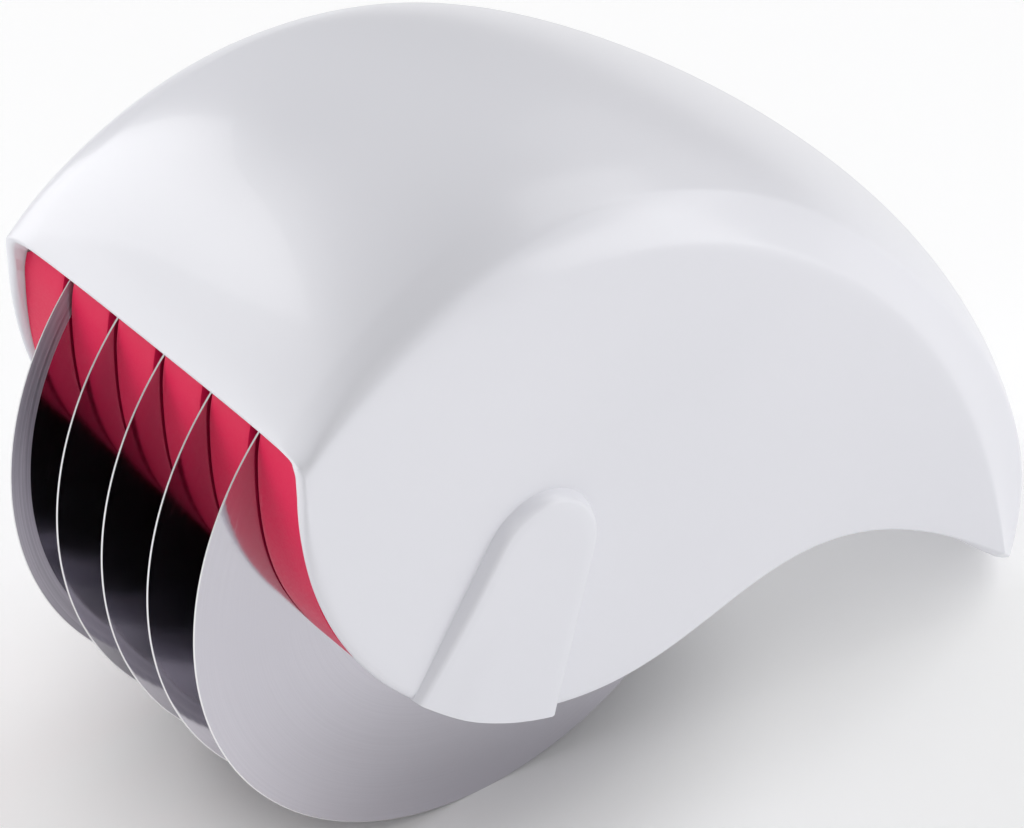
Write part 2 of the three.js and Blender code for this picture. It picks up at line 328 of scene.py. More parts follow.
def circles(radius: Array, x: Array, segments: int) -> Array:
    """Circles about the axle line: (r, x) goes to (x, r sin a, r cos a) for each angle a.

    Args:
        radius: radius of each circle, as one value or as one for each angle.
        x: place of each circle along the axle.
        segments: number of angles.

    Returns:
        Points by circle and angle.
    """
    angle = angles(segments)
    rows = np.broadcast_to(np.asarray(radius, float).reshape(len(x), -1), (len(x), segments))
    across = np.repeat(np.asarray(x, float)[:, None], segments, axis=1)
    return np.stack([across, rows * np.sin(angle), rows * np.cos(angle)], axis=-1)


def turned_ring(name: str, radius: Array, x: Array, segments: int) -> bpy.types.Object:
    """Ring about the axle line, from the radius and x of each point of a closed profile, as in circles()."""
    return new_piece(name, circles(radius, x, segments), grid_quads(len(x), segments, True, True))


class Nodes:
    """Short way to add and link nodes in one node tree."""

    def __init__(self, tree: bpy.types.NodeTree) -> None:
        """Keeps the tree that nodes are added to."""
        self.tree = tree

    def feed(self, node: bpy.types.Node, inputs: dict) -> None:
        """Links sockets to a node's inputs, or sets values on them.

        Args:
            node: the node.
            inputs: values or sockets for its inputs, by name or number.
        """
        for key, value in inputs.items():
            if isinstance(value, Socket):
                self.tree.links.new(value, node.inputs[key])
            else:
                node.inputs[key].default_value = value

    def add(self, kind: str, inputs: dict | None = None, **settings: object) -> bpy.types.Node:
        """Adds a node.

        Args:
            kind: Blender's name of the node type.
            inputs: values or sockets for the node's inputs, by name or number.
            settings: attributes of the node.

        Returns:
            The new node.
        """
        node = self.tree.nodes.new(kind)
        for key, value in settings.items():
            setattr(node, key, value)
        self.feed(node, inputs or {})
        return node

    def place(self) -> Socket:
        """Object coordinates."""
        return self.add("ShaderNodeTexCoord").outputs["Object"]

    def math(self, operation: str, *values: object) -> Socket:
        """Result of a Math node on one to three values or sockets."""
        return self.add("ShaderNodeMath", dict(enumerate(values)), operation=operation).outputs[0]

    def map_range(self, value: Socket, span: Span, to: Span) -> Socket:
        """Value mapped smoothly from one span to another, clamped."""
        ends = {"Value": value, "From Min": span[0], "From Max": span[1], "To Min": to[0], "To Max": to[1]}
        return self.add("ShaderNodeMapRange", ends, interpolation_type="SMOOTHSTEP").outputs["Result"]

    def mix(self, share: Socket, first: Colour, second: Colour) -> Socket:
        """Colour between first and second, which are inputs 6 and 7 of the node."""
        colours = {0: share, 6: (*first, 1.0), 7: (*second, 1.0)}
        return self.add("ShaderNodeMix", colours, data_type="RGBA").outputs[2]

    def noise(self, vector: Socket, scale: object, detail: float, roughness: float = 0.5) -> Socket:
        """Value of a noise at a vector."""
        inputs = {"Vector": vector, "Scale": scale, "Detail": detail, "Roughness": roughness}
        return self.add("ShaderNodeTexNoise", inputs).outputs["Fac"]


def new_group(name: str, inputs: tuple[str, ...],
              outputs: tuple[str, ...]) -> tuple[bpy.types.NodeTree, Nodes, bpy.types.Node, bpy.types.Node]:
    """Empty shader node group whose sockets are all plain values.

    Args:
        name: name of the group.
        inputs: names of its inputs.
        outputs: names of its outputs.

    Returns:
        The group, a Nodes for it, and its input and output nodes.
    """
    group = bpy.data.node_groups.new(name, "ShaderNodeTree")
    for way, names in (("INPUT", inputs), ("OUTPUT", outputs)):
        for key in names:
            group.interface.new_socket(name=key, in_out=way, socket_type="NodeSocketFloat")
    nodes = Nodes(group)
    return group, nodes, nodes.add("NodeGroupInput"), nodes.add("NodeGroupOutput")


@dataclass
class Effects:
    """Node groups that several finishes share, built once."""

    drift_roughness: float = 0.45
    texture_scale: float = 2600.0
    texture_roughness: float = 0.6
    hair_stretch: float = 0.06
    hair_width: float = 0.012
    patch_scale: float = 70.0
    patch_span: Span = (0.5, 0.68)
    least_radius: float = 0.001
    sweep_rings: float = 0.02
    sweep_turns: float = 1.6
    moulded: bpy.types.NodeTree = field(init=False)
    marks: bpy.types.NodeTree = field(init=False)
    rings: bpy.types.NodeTree = field(init=False)

    def __post_init__(self) -> None:
        """Builds every group."""
        self.moulded = self.moulded_skin()
        self.marks = self.handling_marks()
        self.rings = self.turning_lines()

    def moulded_skin(self) -> bpy.types.NodeTree:
        """Skin of a moulded plastic: slow drift of tone along the flow, and a fine texture from the mould.

        Returns:
            Group with Size of the drift in metres; outputs Drift and Texture, both 0 to 1.
        """
        group, nodes, given, result = new_group("moulded_skin", ("Size",), ("Drift", "Texture"))
        place = nodes.place()
        scale = nodes.math("DIVIDE", 1.0, given.outputs["Size"])
        drift = nodes.noise(place, scale, 2.0, self.drift_roughness)
        fine = nodes.noise(place, self.texture_scale, 3.0, self.texture_roughness)
        nodes.feed(result, {"Drift": nodes.map_range(drift, NOISE_SPAN, WHOLE), "Texture": fine})
        return group

    def handling_marks(self) -> bpy.types.NodeTree:
        """Faint hairline marks from handling: thin contour lines of a stretched noise, kept in loose patches.

        Returns:
            Group with Scale and Turn; output Mask, 0 to 1.
        """
        group, nodes, given, result = new_group("handling_marks", ("Scale", "Turn"), ("Mask",))
        place = nodes.place()
        turned = nodes.add("ShaderNodeVectorRotate", {"Vector": place, "Angle": given.outputs["Turn"]},
                           rotation_type="X_AXIS")
        drawn = nodes.add("ShaderNodeMapping", {"Vector": turned.outputs[0],
                                                "Scale": (1.0, self.hair_stretch, 1.0)})
        hair = nodes.noise(drawn.outputs[0], given.outputs["Scale"], 2.0)
        off = nodes.math("ABSOLUTE", nodes.math("SUBTRACT", hair, NOISE_MIDDLE))
        line = nodes.map_range(off, (0.0, self.hair_width), (1.0, 0.0))
        patch = nodes.map_range(nodes.noise(place, self.patch_scale, 1.0), self.patch_span, WHOLE)
        nodes.feed(result, {"Mask": nodes.math("MULTIPLY", line, patch)})
        return group

    def turning_lines(self) -> bpy.types.NodeTree:
        """Fine rings about the axle: noise that changes fast with the radius and slowly round the circle.

        Returns:
            Group with Pitch in metres; outputs Lines and Sweep, both 0 to 1.
        """
        group, nodes, given, result = new_group("turning_lines", ("Pitch",), ("Lines", "Sweep"))
        centred = nodes.add("ShaderNodeMapping", {"Vector": nodes.place(),
                                                  "Location": (0.0, -AXLE[1], -AXLE[2])})
        split = nodes.add("ShaderNodeSeparateXYZ", {"Vector": centred.outputs[0]})
        y, z = split.outputs["Y"], split.outputs["Z"]
        squares = [nodes.math("MULTIPLY", value, value) for value in (y, z)]
        radius = nodes.math("SQRT", nodes.math("ADD", *squares))
        least = nodes.math("MAXIMUM", radius, self.least_radius)
        steps = nodes.math("DIVIDE", radius, given.outputs["Pitch"])

        def ringed(rings: float, turns: float, detail: float) -> Socket:
            """Noise over the radius in pitches and the direction from the axle.

            Args:
                rings: factor on the radius.
                turns: factor on the direction.
                detail: detail of the noise.

            Returns:
                Value from 0 to 1.
            """
            vector = {"X": nodes.math("MULTIPLY", steps, rings),
                      "Y": nodes.math("MULTIPLY", nodes.math("DIVIDE", y, least), turns),
                      "Z": nodes.math("MULTIPLY", nodes.math("DIVIDE", z, least), turns)}
            value = nodes.noise(nodes.add("ShaderNodeCombineXYZ", vector).outputs[0], 1.0, detail)
            return nodes.map_range(value, NOISE_SPAN, WHOLE)

        nodes.feed(result, {"Lines": ringed(1.0, 1.0, 2.0),
                            "Sweep": ringed(self.sweep_rings, self.sweep_turns, 1.0)})
        return group


def new_material(name: str) -> tuple[bpy.types.Material, Nodes, bpy.types.Node]:
    """Node material with a bare Principled shader.

    Args:
        name: name of the material.

    Returns:
        The material, a Nodes for its tree, and its shader node.
    """
    material = bpy.data.materials.new(name)
    material.use_nodes = True
    tree = material.node_tree
    return material, Nodes(tree), tree.nodes["Principled BSDF"]


@dataclass(frozen=True)
class MouldedPlastic:
    """Finish of a moulded plastic piece; the drift's size and the texture's depth are in metres."""

    name: str
    colour: Colour
    drift_colour: Colour
    drift_size: float
    roughness: Span
    texture_depth: float
    texture_strength: float = 0.3
    mark_scale: float = 900.0
    mark_turn: float = 0.7
    mark_share: float = 0.12
    coat: float = 0.0
    specular: float = 0.5

    def build(self, effects: Effects) -> bpy.types.Material:
        """Material with drifting tone, a fine mould texture and a few handling marks.

        Args:
            effects: the shared node groups.

        Returns:
            The finished material.
        """
        material, nodes, shader = new_material(self.name)
        skin = nodes.add("ShaderNodeGroup", node_tree=effects.moulded)
        nodes.feed(skin, {"Size": self.drift_size})
        marks = nodes.add("ShaderNodeGroup", node_tree=effects.marks)
        nodes.feed(marks, {"Scale": self.mark_scale, "Turn": self.mark_turn})
        texture = skin.outputs["Texture"]
        rough = nodes.map_range(texture, NOISE_SPAN, self.roughness)
        bump = nodes.add("ShaderNodeBump", {"Height": texture, "Strength": self.texture_strength,
                                            "Distance": self.texture_depth})
        nodes.feed(shader, {
            "Base Color": nodes.mix(skin.outputs["Drift"], self.colour, self.drift_colour),
            "Roughness": nodes.math("MULTIPLY_ADD", marks.outputs["Mask"], self.mark_share, rough),
            "Normal": bump.outputs["Normal"],
            "Specular IOR Level": self.specular,
            "Coat Weight": self.coat})
        return material


@dataclass(frozen=True)
class TurnedSteel:
    """Finish of a steel piece that was ground or turned about the axle; pitch and depth are in metres."""

    name: str
    colour: Colour
    line_colour: Colour
    pitch: float
    roughness: Span
    line_depth: float
    line_strength: float = 0.4
    sweep_share: float = 0.3
    mark_scale: float = 700.0
    mark_turn: float = 1.9
    mark_share: float = 0.08

    def build(self, effects: Effects) -> bpy.types.Material:
        """Metal with fine rings in its tone, roughness and height.

        Args:
            effects: the shared node groups.

        Returns:
            The finished material.
        """
        material, nodes, shader = new_material(self.name)
        rings = nodes.add("ShaderNodeGroup", node_tree=effects.rings)
        nodes.feed(rings, {"Pitch": self.pitch})
        marks = nodes.add("ShaderNodeGroup", node_tree=effects.marks)
        nodes.feed(marks, {"Scale": self.mark_scale, "Turn": self.mark_turn})
        lines = rings.outputs["Lines"]
        share = nodes.math("ADD", nodes.math("MULTIPLY", lines, 1.0 - self.sweep_share),
                           nodes.math("MULTIPLY", rings.outputs["Sweep"], self.sweep_share))
        rough = nodes.map_range(share, WHOLE, self.roughness)
        bump = nodes.add("ShaderNodeBump", {"Height": lines, "Strength": self.line_strength,
                                            "Distance": self.line_depth})
        nodes.feed(shader, {
            "Base Color": nodes.mix(lines, self.colour, self.line_colour),
            "Roughness": nodes.math("MULTIPLY_ADD", marks.outputs["Mask"], self.mark_share, rough),
            "Normal": bump.outputs["Normal"],
            "Metallic": 1.0})
        return material


class Finish(Enum):
    """The finishes of the part."""

    WHITE_GLOSS = MouldedPlastic("white_gloss", (0.83, 0.83, 0.88), (0.81, 0.812, 0.862), 0.05,
                                 (0.28, 0.33), 0.00001, mark_share=0.03, coat=0.1)
    RED_PLASTIC = MouldedPlastic("red_plastic", (0.79, 0.006, 0.08), (0.74, 0.005, 0.07), 0.02,
                                 (0.36, 0.46), 0.00002, specular=0.26)
    GREY_PLASTIC = MouldedPlastic("grey_plastic", (0.62, 0.63, 0.64), (0.57, 0.58, 0.59), 0.012,
                                  (0.42, 0.55), 0.00003)
    BLADE_FACE = TurnedSteel("blade_face_steel", (0.61, 0.595, 0.645), (0.63, 0.615, 0.665), 0.00012,
                             (0.07, 0.11), 0.0000006)
    # The bevel's rougher grind is real; its darker steel colour is painted shade.
    BLADE_BEVEL_PAINTED_SHADE = TurnedSteel("blade_bevel_steel_painted_shade", (0.41, 0.395, 0.445), (0.54, 0.52, 0.58), 0.00022,
                              (0.34, 0.5), 0.00001)
    # The edge's much brighter steel colour is a painted highlight along the cutting edge.
    BLADE_EDGE_PAINTED_HIGHLIGHT = TurnedSteel("blade_edge_steel_painted_highlight", (0.86, 0.86, 0.87), (0.92, 0.92, 0.93), 0.00008,
                             (0.3, 0.4), 0.000003)
    PLAIN_STEEL = TurnedSteel("plain_steel", (0.46, 0.465, 0.475), (0.54, 0.545, 0.55), 0.00018,
                              (0.28, 0.42), 0.000006)


@dataclass
class Materials:
    """Every finish as a Blender material."""

    made: dict[Finish, bpy.types.Material] = field(init=False)

    def __post_init__(self) -> None:
        """Builds the shared groups, then one material for each finish."""
        effects = Effects()
        self.made = {finish: finish.value.build(effects) for finish in Finish}

    def of(self, *finishes: Finish) -> tuple[bpy.types.Material, ...]:
        """The materials of some finishes."""
        return tuple(self.made[finish] for finish in finishes)


@dataclass(frozen=True)
class Layout:
    """Sizes that several sub-assemblies share."""

    blade_count: int = 5
    blade_pitch: float = 10.0
    blade_radius: float = 44.0
    blade_facets: int = 60
    fit_gap: float = 0.3

    @property
    def table_z(self) -> float:
        """Height of the table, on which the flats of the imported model's faceted blades stand."""
        return -self.blade_radius * math.cos(math.pi / self.blade_facets)

    def blade_places(self) -> Array:
        """X of the middle of each blade, from left to right."""
        return (np.arange(self.blade_count) - (self.blade_count - 1) / 2.0) * self.blade_pitch


@dataclass
class Housing:
    """White shell: a rolled crown between two flat cheeks, with a raised boss and a shoe channel on each.

    Rails and edges are Bezier controls in blade radii, from the front rim towards the tail. shoulder_inset,
    roll_reach, roll_power and band_bulge are controls of plain values over the same way. boss_levels pairs
    the growth of the boss's radius with the share of its height.
    """

    layout: Layout
    cheek_x: float = 32.2
    wall: float = 2.0
    crease: float = 32.0
    rim_bulge: Span = (0.5, 1.6)
    bulge_rise: Span = (0.0, 0.08)
    bulge_fall: Span = (0.3, 0.5)
    rim_power: float = 0.85
    rim_steps: int = 14
    rim_passes: int = 60
    rim_turn: tuple[int, int] = (-8, 24)
    end_draw: float = 0.0025
    end_fade: Span = (0.0, 0.06)
    corner_fillet: float = 2.0
    fillet_fade: Span = (0.02, 0.06)
    stations: int = 150
    cheek_cells: int = 30
    cheek_spread: float = 1.6
    band_cells: int = 24
    band_lift: Span = (0.1, -0.5)
    crown_cells: int = 44
    roll_limit: float = 0.99999
    crease_passes: int = 12
    crease_reach: int = 16
    front_passes: int = 150
    front_span: Span = (0.06, 0.24)
    centre_rail: Points = ((-0.7955, 0.7), (-0.2386, 1.3955), (0.3864, 1.4614), (1.1977, 0.8864),
                           (1.9114, 0.3977), (2.1432, -0.1114), (2.0682, -1.0123))
    shoulder_rail: Points = ((-0.7955, 0.6927), (-0.3796, 1.1561), (0.948, 1.5923), (1.3832, 0.3147),
                             (2.1891, -0.235), (1.9227, -0.9045))
    edge_rail: Points = ((-0.7977, 0.6045), (-0.0136, 1.1818), (0.6023, 1.0023), (1.175, 0.6295),
                         (1.6727, 0.1614), (1.8455, -0.8227))
    front_edge: Points = ((-0.7977, 0.5909), (-0.822, -0.0045), (-0.3432, -0.559), (0.2727, -0.559))
    belly_edge: Points = ((0.2727, -0.559), (0.7977, -0.559), (0.9955, -0.1114), (1.8455, -0.8318))
    shoulder_inset: tuple[float, ...] = (0.0016, -0.0352, 0.3908, -0.0544, 0.1576, 0.0766)
    roll_reach: tuple[float, ...] = (0.78, 0.974, 0.996, 0.855, 0.835, 0.89, 0.938)
    roll_power: tuple[float, ...] = (3.1, 2.97, 2.05, 1.77, 2.07, 2.54, 2.79)
    band_bulge: tuple[float, ...] = (1.0, 0.844, 0.074, -0.117, -0.125, -0.142)
    boss_centre: Span = (-0.25, 2.8)
    boss_radius: float = 8.4
    boss_rim: float = 2.2
    boss_height: float = 1.8
    boss_sink: float = 0.6
    boss_fade: float = 0.8
    boss_fade_share: float = 0.4
    boss_levels: Points = ((0.35, 0.0), (0.1, 0.35), (-0.2, 0.7), (-0.5, 0.9), (-0.95, 1.0))
    boss_rings: tuple[float, ...] = (0.85, 0.65, 0.45, 0.25, 0.08)
    head_steps: int = 49
    leg_steps: int = 13
    foot_steps: int = 26
    foot_span: Span = (0.25, 0.62)
    foot_samples: int = 1500
    channel_depth: float = 2.2
    channel_leg: float = 45.0
    channel_chamfer: float = 0.3
    slide_lean: float = math.radians(23.7)
    channel_taper: float = math.radians(9.2)
    peg_radius: float = 1.0
    peg_reach: float = 31.0
    socket_segments: int = 40
    table_thickness: float = 10.0

    @property
    def inner_scale(self) -> float:
        """Half width inside the cheeks as a share of that outside."""
        return (self.cheek_x - self.wall) / self.cheek_x

    @property
    def leans(self) -> Span:
        """Lean of the front and of the rear leg of the tapered U from the vertical, in radians."""
        return self.slide_lean + self.channel_taper, self.slide_lean - self.channel_taper

    def rail(self, controls: Points, t: Array) -> Array:
        """Points (Y, Z) of a rail that is given in blade radii."""
        return bezier(np.array(controls) * self.layout.blade_radius, t)

    def lower_edge(self, t: Array) -> Array:
        """Lower edge of the cheek: the front curve up to station one half, the belly curve after it.

        Args:
            t: stations from the front rim, 0, to the tail, 1.

        Returns:
            Points (Y, Z).
        """
        front = self.rail(self.front_edge, np.clip(t * 2.0, 0.0, 1.0))
        belly = self.rail(self.belly_edge, np.clip(t * 2.0 - 1.0, 0.0, 1.0))
        return np.where((t < 0.5)[:, None], front, belly)

    def edge_bulge(self, t: Array) -> Array:
        """Reach of the rounded rim along the lower edge: wide along the front of the cheek only."""
        wide = smoothstep(*self.bulge_rise, t) * (1.0 - smoothstep(*self.bulge_fall, t))
        return between(self.rim_bulge, wide)

    def drawn_edge(self, t: Array) -> Array:
        """Lower edge of the cheek, moved along its normal to make room for the rounded rim.

        Args:
            t: stations from the front rim, 0, to the tail, 1.

        Returns:
            Points (Y, Z): edge + normal * bulge.
        """
        step = CURVE_STEP / 2.0
        ahead = unit(self.lower_edge(t + step) - self.lower_edge(t - step))
        normal = np.stack([-ahead[:, 1], ahead[:, 0]], axis=1)
        return self.lower_edge(t) + normal * self.edge_bulge(t)[:, None]

    def station_row(self) -> Array:
        """Stations of the grid's rows, which stop short of both ends to make room for the rounded rim."""
        return np.linspace(self.end_draw, 1.0 - self.end_draw, self.stations + 1)

    def cheek_shares(self) -> Array:
        """Shares of the way up the cheek, closer towards its top: 1 - (1 - u)^spread."""
        return 1.0 - (1.0 - np.linspace(0.0, 1.0, self.cheek_cells + 1)) ** self.cheek_spread

    def half_sections(self, t: Array) -> Array:
        """Half cross-sections, from the drawn-in lower edge of the cheek to the top centre line.

        The cheek is straight. The band above it goes from edge to shoulder by the share w, and its lift
        2 w (1 - w) bulge rolls it into the cheek at the front and hollows it behind. Over the crown
        X = shoulder x * s, and (Y, Z) goes from centre line to shoulder by the share
        drop(s) = arc(reach s) / arc(reach), where arc(x) = 1 - (1 - x^power)^(1/power).

        Args:
            t: stations from the front rim, 0, to the tail, 1.

        Returns:
            Points by station and column, with softened creases.
        """
        lower = self.drawn_edge(t)[:, None]
        edge = self.rail(self.edge_rail, t)[:, None]
        shoulder = self.rail(self.shoulder_rail, t)[:, None]
        centre = self.rail(self.centre_rail, t)[:, None]
        shoulder_x = self.cheek_x * (1.0 - bezier(self.shoulder_inset, t))
        reach = bezier(self.roll_reach, t)
        power = bezier(self.roll_power, t)
        cheek = lower + (edge - lower) * self.cheek_shares()[None, :, None]
        cheek_x = np.full(cheek.shape[:2], self.cheek_x)
        w = np.linspace(0.0, 1.0, self.band_cells + 1)[None, 1:]
        lift = 2.0 * w * (1.0 - w) * bezier(self.band_bulge, t)
        band = edge + (shoulder - edge) * (w + lift * self.band_lift[0])[:, :, None]
        band_x = self.cheek_x + (shoulder_x - self.cheek_x) * (w + lift * self.band_lift[1])
        s = np.sin(np.linspace(1.0, 0.0, self.crown_cells + 1)[1:] * np.pi / 2.0)[None, :]

        def arc(x: Array) -> Array:
            """Drop of a quarter superellipse at share x of its width."""
            return 1.0 - (1.0 - np.minimum(x, self.roll_limit) ** power) ** (1.0 / power)

        drop = (arc(reach * s) / arc(reach))[:, :, None]
        crown = centre + (shoulder - centre) * drop
        flat = np.concatenate([cheek, band, crown], axis=1)
        x = np.concatenate([cheek_x, band_x, shoulder_x * s], axis=1)
        return self.softened(np.concatenate([x[:, :, None], flat], axis=2), t)

    def softened(self, section: Array, t: Array) -> Array:
        """Cross-sections with creases softened by repeated averaging, more often near the front rim.

        Args:
            section: points by station and column.
            t: the stations.

        Returns:
            The points, changed from some columns below the top of the cheek to some above the shoulder.
        """
        first = self.cheek_cells - self.crease_reach
        last = self.cheek_cells + self.band_cells + self.crease_reach
        front = 1.0 - smoothstep(*self.front_span, t)[:, None, None]
        for number in range(self.front_passes):
            share = 1.0 if number < self.crease_passes else front
            middle = section[:, first:last]
            even = averaged(section[:, first - 1:last - 1], middle, section[:, first + 1:last + 1])
            section[:, first:last] = middle + (even - middle) * share
        return section

    def inward(self, t: Array) -> Array:
        """Unit normals (Y, Z) of the centre line at stations t, towards the inside."""
        before, after = (self.rail(self.centre_rail, t + step) for step in (-CURVE_STEP, CURVE_STEP))
        return unit(after - before)[:, ::-1] * np.array([1.0, -1.0])

    def under_crown(self, t: Array, x: Array, gap: float) -> Array:
        """Points (Y, Z) under the shell's inner skin, at stations t and half widths x.

        Args:
            t: stations, one a row.
            x: places along the axle, one a column.
            gap: distance below the inner skin.

        Returns:
            Points by station and column.
        """
        crown = self.half_sections(t)[:, :self.cheek_cells:-1]
        crown[:, :, 0] *= self.inner_scale
        rows = [[np.interp(np.abs(x), row[:, 0], row[:, k]) for k in (1, 2)] for row in crown]
        return np.moveaxis(np.array(rows), 1, 2) + (self.wall + gap) * self.inward(t)[:, None]

    def skins(self) -> tuple[Array, Array]:
        """Outer and inner skin of the shell.

        The inner skin is the outer one with X scaled by (half width - wall) / half width, and (Y, Z) moved by
        the wall against the normal of the centre line. Down the cheek that move fades to none at the lower
        edge, except close to the two ends.

        Returns:
            Two grids of points, by station and by column from the right lower edge to the left one.
        """
        t = self.station_row()
        half = self.half_sections(t)
        outer = np.concatenate([half, half[:, -2::-1] * np.array([-1.0, 1.0, 1.0])], axis=1)
        near_end = 1.0 - smoothstep(*self.end_fade, np.minimum(t, 1.0 - t))
        down = self.cheek_shares()[None, :]
        share = np.ones((len(t), half.shape[1]))
        share[:, :self.cheek_cells + 1] = down + (1.0 - down) * near_end[:, None]
        share = np.concatenate([share, share[:, -2::-1]], axis=1)
        inner = outer.copy()
        inner[:, :, 0] *= self.inner_scale
        inner[:, :, 1:] += share[:, :, None] * (self.wall * self.inward(t))[:, None, :]
        self.fill_corners(inner, t)
        return outer, inner

    def fill_corners(self, inner: Array, t: Array) -> None:
        """Rounds the inner skin's corners near the front rim.

        Inner points outside a circle that touches both sides of a corner are drawn to that circle.

        Args:
            inner: points of the inner skin, which are changed.
            t: the stations.
        """
        radius = self.corner_fillet * (1.0 - smoothstep(*self.fillet_fade, t))[:, None]
        corner = inner[:, self.cheek_cells + self.band_cells]
        dx = np.abs(inner[:, :, 0]) - (np.abs(inner[:, :1, 0]) - radius)
        dz = inner[:, :, 2] - (corner[:, None, 2] - radius)
        past_painted_shadow = np.hypot(dx, dz)
        filled = (dx > 0.0) & (dz > 0.0) & (past_painted_shadow > radius)
        pull = np.where(filled, 1.0 - radius / np.maximum(past_painted_shadow, TINY), 0.0)
        inner[:, :, 0] -= np.sign(inner[:, :, 0]) * dx * pull
        inner[:, :, 2] -= dz * pull

    def rim(self, outer: Array, inner: Array) -> tuple[Array, Array]:
        """Rounded rim between the borders of the two skins.

        It carries a half superellipse from outer to inner skin round the border:
        middle + half thickness * cos^e(a) + bulge * sin^e(a) along the direction that leads out of the sheet.
        It lies square to the cheek at the front, and square to the crown along the rest of the end rows.

        Args:
            outer: points of the outer skin.
            inner: points of the inner skin.

        Returns:
            Point numbers of the skins' border, and the rim's points by step and place on the border.
        """
        rows, columns = outer.shape[:2]
        number = np.arange(rows * columns).reshape(rows, columns)

        def round_trip(start: int, right: int, end: int, left: int) -> Array:
            """Point numbers along a first row, a last column, a last row and a first column."""
            return np.concatenate([number[start], number[1:, right],
                                   number[end, -2::-1], number[-2:0:-1, left]])

        border = round_trip(0, -1, -1, 0)
        top = outer.reshape(-1, 3)[border]
        column = np.minimum(border % columns, columns - 1 - border % columns)
        shoulder = self.cheek_cells + self.band_cells
        turned = smoothstep(shoulder + self.rim_turn[0], shoulder + self.rim_turn[1], column)
        slant = np.where(border // columns < rows // 2, turned, 1.0)
        under = inner.reshape(-1, 3)[border]
        under[:, 1:] = top[:, 1:] + (under - top)[:, 1:] * slant[:, None]
        middle = (top + under) / 2.0
        out = unit(np.cross(np.roll(middle, -1, axis=0) - np.roll(middle, 1, axis=0), top - under))
        inside = outer.reshape(-1, 3)[round_trip(1, -2, -2, 1)]
        out *= np.where(np.median(np.sum(out * (top - inside), axis=1)) < 0.0, -1.0, 1.0)
        for _ in range(self.rim_passes):
            out = averaged(np.roll(out, 1, axis=0), out, np.roll(out, -1, axis=0))
        along_edge = self.edge_bulge(self.station_row()[border // columns])
        reach = np.where(column < 1, along_edge, self.rim_bulge[0])
        turn = np.linspace(0.0, np.pi, self.rim_steps)[1:-1, None, None]
        lean = np.sign(np.cos(turn)) * np.abs(np.cos(turn)) ** self.rim_power
        rise = np.abs(np.sin(turn)) ** self.rim_power
        return border, middle + (top - middle) * lean + unit(out) * reach[:, None] * rise

    def shell(self) -> bpy.types.Object:
        """Closed shell: the two skins, joined round their border by the rim.

        Returns:
            The shell without its bosses and channels.
        """
        outer, inner = self.skins()
        border, rim = self.rim(outer, inner)
        rows, columns = outer.shape[:2]
        count = rows * columns
        points = np.concatenate([outer.reshape(-1, 3), inner.reshape(-1, 3), rim.reshape(-1, 3)])
        steps = np.arange(rim.shape[0] * len(border)).reshape(-1, len(border)) + 2 * count
        levels = np.concatenate([border[None], steps, border[None] + count])
        ring = grid_quads(len(levels), len(border), loop_columns=True)
        skin = grid_quads(rows, columns)
        quads = np.concatenate([skin, skin[:, ::-1] + count, levels.reshape(-1)[ring]])
        return new_piece("white_housing", points, quads)

    def tapered_u(self, radius: float, legs: Span, foot: Array = np.zeros((0, 2))) -> Array:
        """Loop of an inverted U whose legs spread towards the exit, in (Y, Z).

        Args:
            radius: radius of the round head.
            legs: length of the rear and of the front leg.
            foot: points between the end of the front leg and the end of the rear one.

        Returns:
            The closed loop: rear leg, head, front leg, foot.
        """
        front, rear = self.leans
        turn = np.linspace(-rear, np.pi - front, self.head_steps)
        head = np.array(self.boss_centre) + radius * np.stack([np.cos(turn), np.sin(turn)], axis=1)
        share = np.linspace(0.0, 1.0, self.leg_steps)[1:, None]
        rear_leg = head[0] - share * legs[0] * np.array([math.sin(rear), math.cos(rear)])
        front_leg = head[-1] - share * legs[1] * np.array([math.sin(front), math.cos(front)])
        return np.concatenate([rear_leg[::-1], head, front_leg, foot])

    def leg_end(self, radius: float, lean: float, turn: float) -> Span:
        """Place where a leg of the boss meets the lower edge of the cheek.

        Args:
            radius: radius of the round head.
            lean: lean of the leg from the vertical.
            turn: angle on the head at which the leg starts.

        Returns:
            Station of the lower edge, and length of the leg.
        """
        t = np.linspace(*self.foot_span, self.foot_samples)
        edge = self.lower_edge(t)
        start = np.array(self.boss_centre) + radius * np.array([math.cos(turn), math.sin(turn)])
        way = -np.array([math.sin(lean), math.cos(lean)])
        side = (edge[:, 0] - start[0]) * way[1] - (edge[:, 1] - start[1]) * way[0]
        order = np.argsort(side)
        station = float(np.interp(0.0, side[order], t[order]))
        end = self.lower_edge(np.array([station]))[0]
        return station, float(np.dot(end - start, way))

    def boss_loop(self, radius: float) -> Array:
        """Loop of the boss at one level: the tapered U, ended by the lower edge of the cheek.

        Args:
            radius: radius of the round head.

        Returns:
            Points (Y, Z) of the closed loop.
        """
        front, rear = self.leans
        front_t, front_leg = self.leg_end(radius, front, math.pi - front)
        rear_t, rear_leg = self.leg_end(radius, rear, -rear)
        foot = self.lower_edge(np.linspace(front_t, rear_t, self.foot_steps)[1:-1])
        return self.tapered_u(radius, (rear_leg, front_leg), foot)

    def boss_share(self, loop: Array) -> Array:
        """Share of the boss's full height: 1, sinking towards the foot of the front leg.

        With u the share of the way from front leg to rear leg and v the share of the way from head to foot,
        it is 1 - fade * smoothstep(v) * (1 - smoothstep(u / fade share)).

        Args:
            loop: points (Y, Z).

        Returns:
            One share for each point.
        """
        front, rear = self.leans
        from_centre = loop - np.array(self.boss_centre)
        front_gap = self.boss_radius + from_centre @ np.array([math.cos(front), -math.sin(front)])
        rear_gap = self.boss_radius - from_centre @ np.array([math.cos(rear), -math.sin(rear)])
        u = np.clip(front_gap / np.maximum(front_gap + rear_gap, TINY), 0.0, 1.0)
        v = -from_centre[:, 1] / (self.boss_centre[1] - self.layout.blade_radius * self.front_edge[-1][1])
        return 1.0 - self.boss_fade * smoothstep(*WHOLE, v) * (1.0 - smoothstep(0.0, self.boss_fade_share, u))

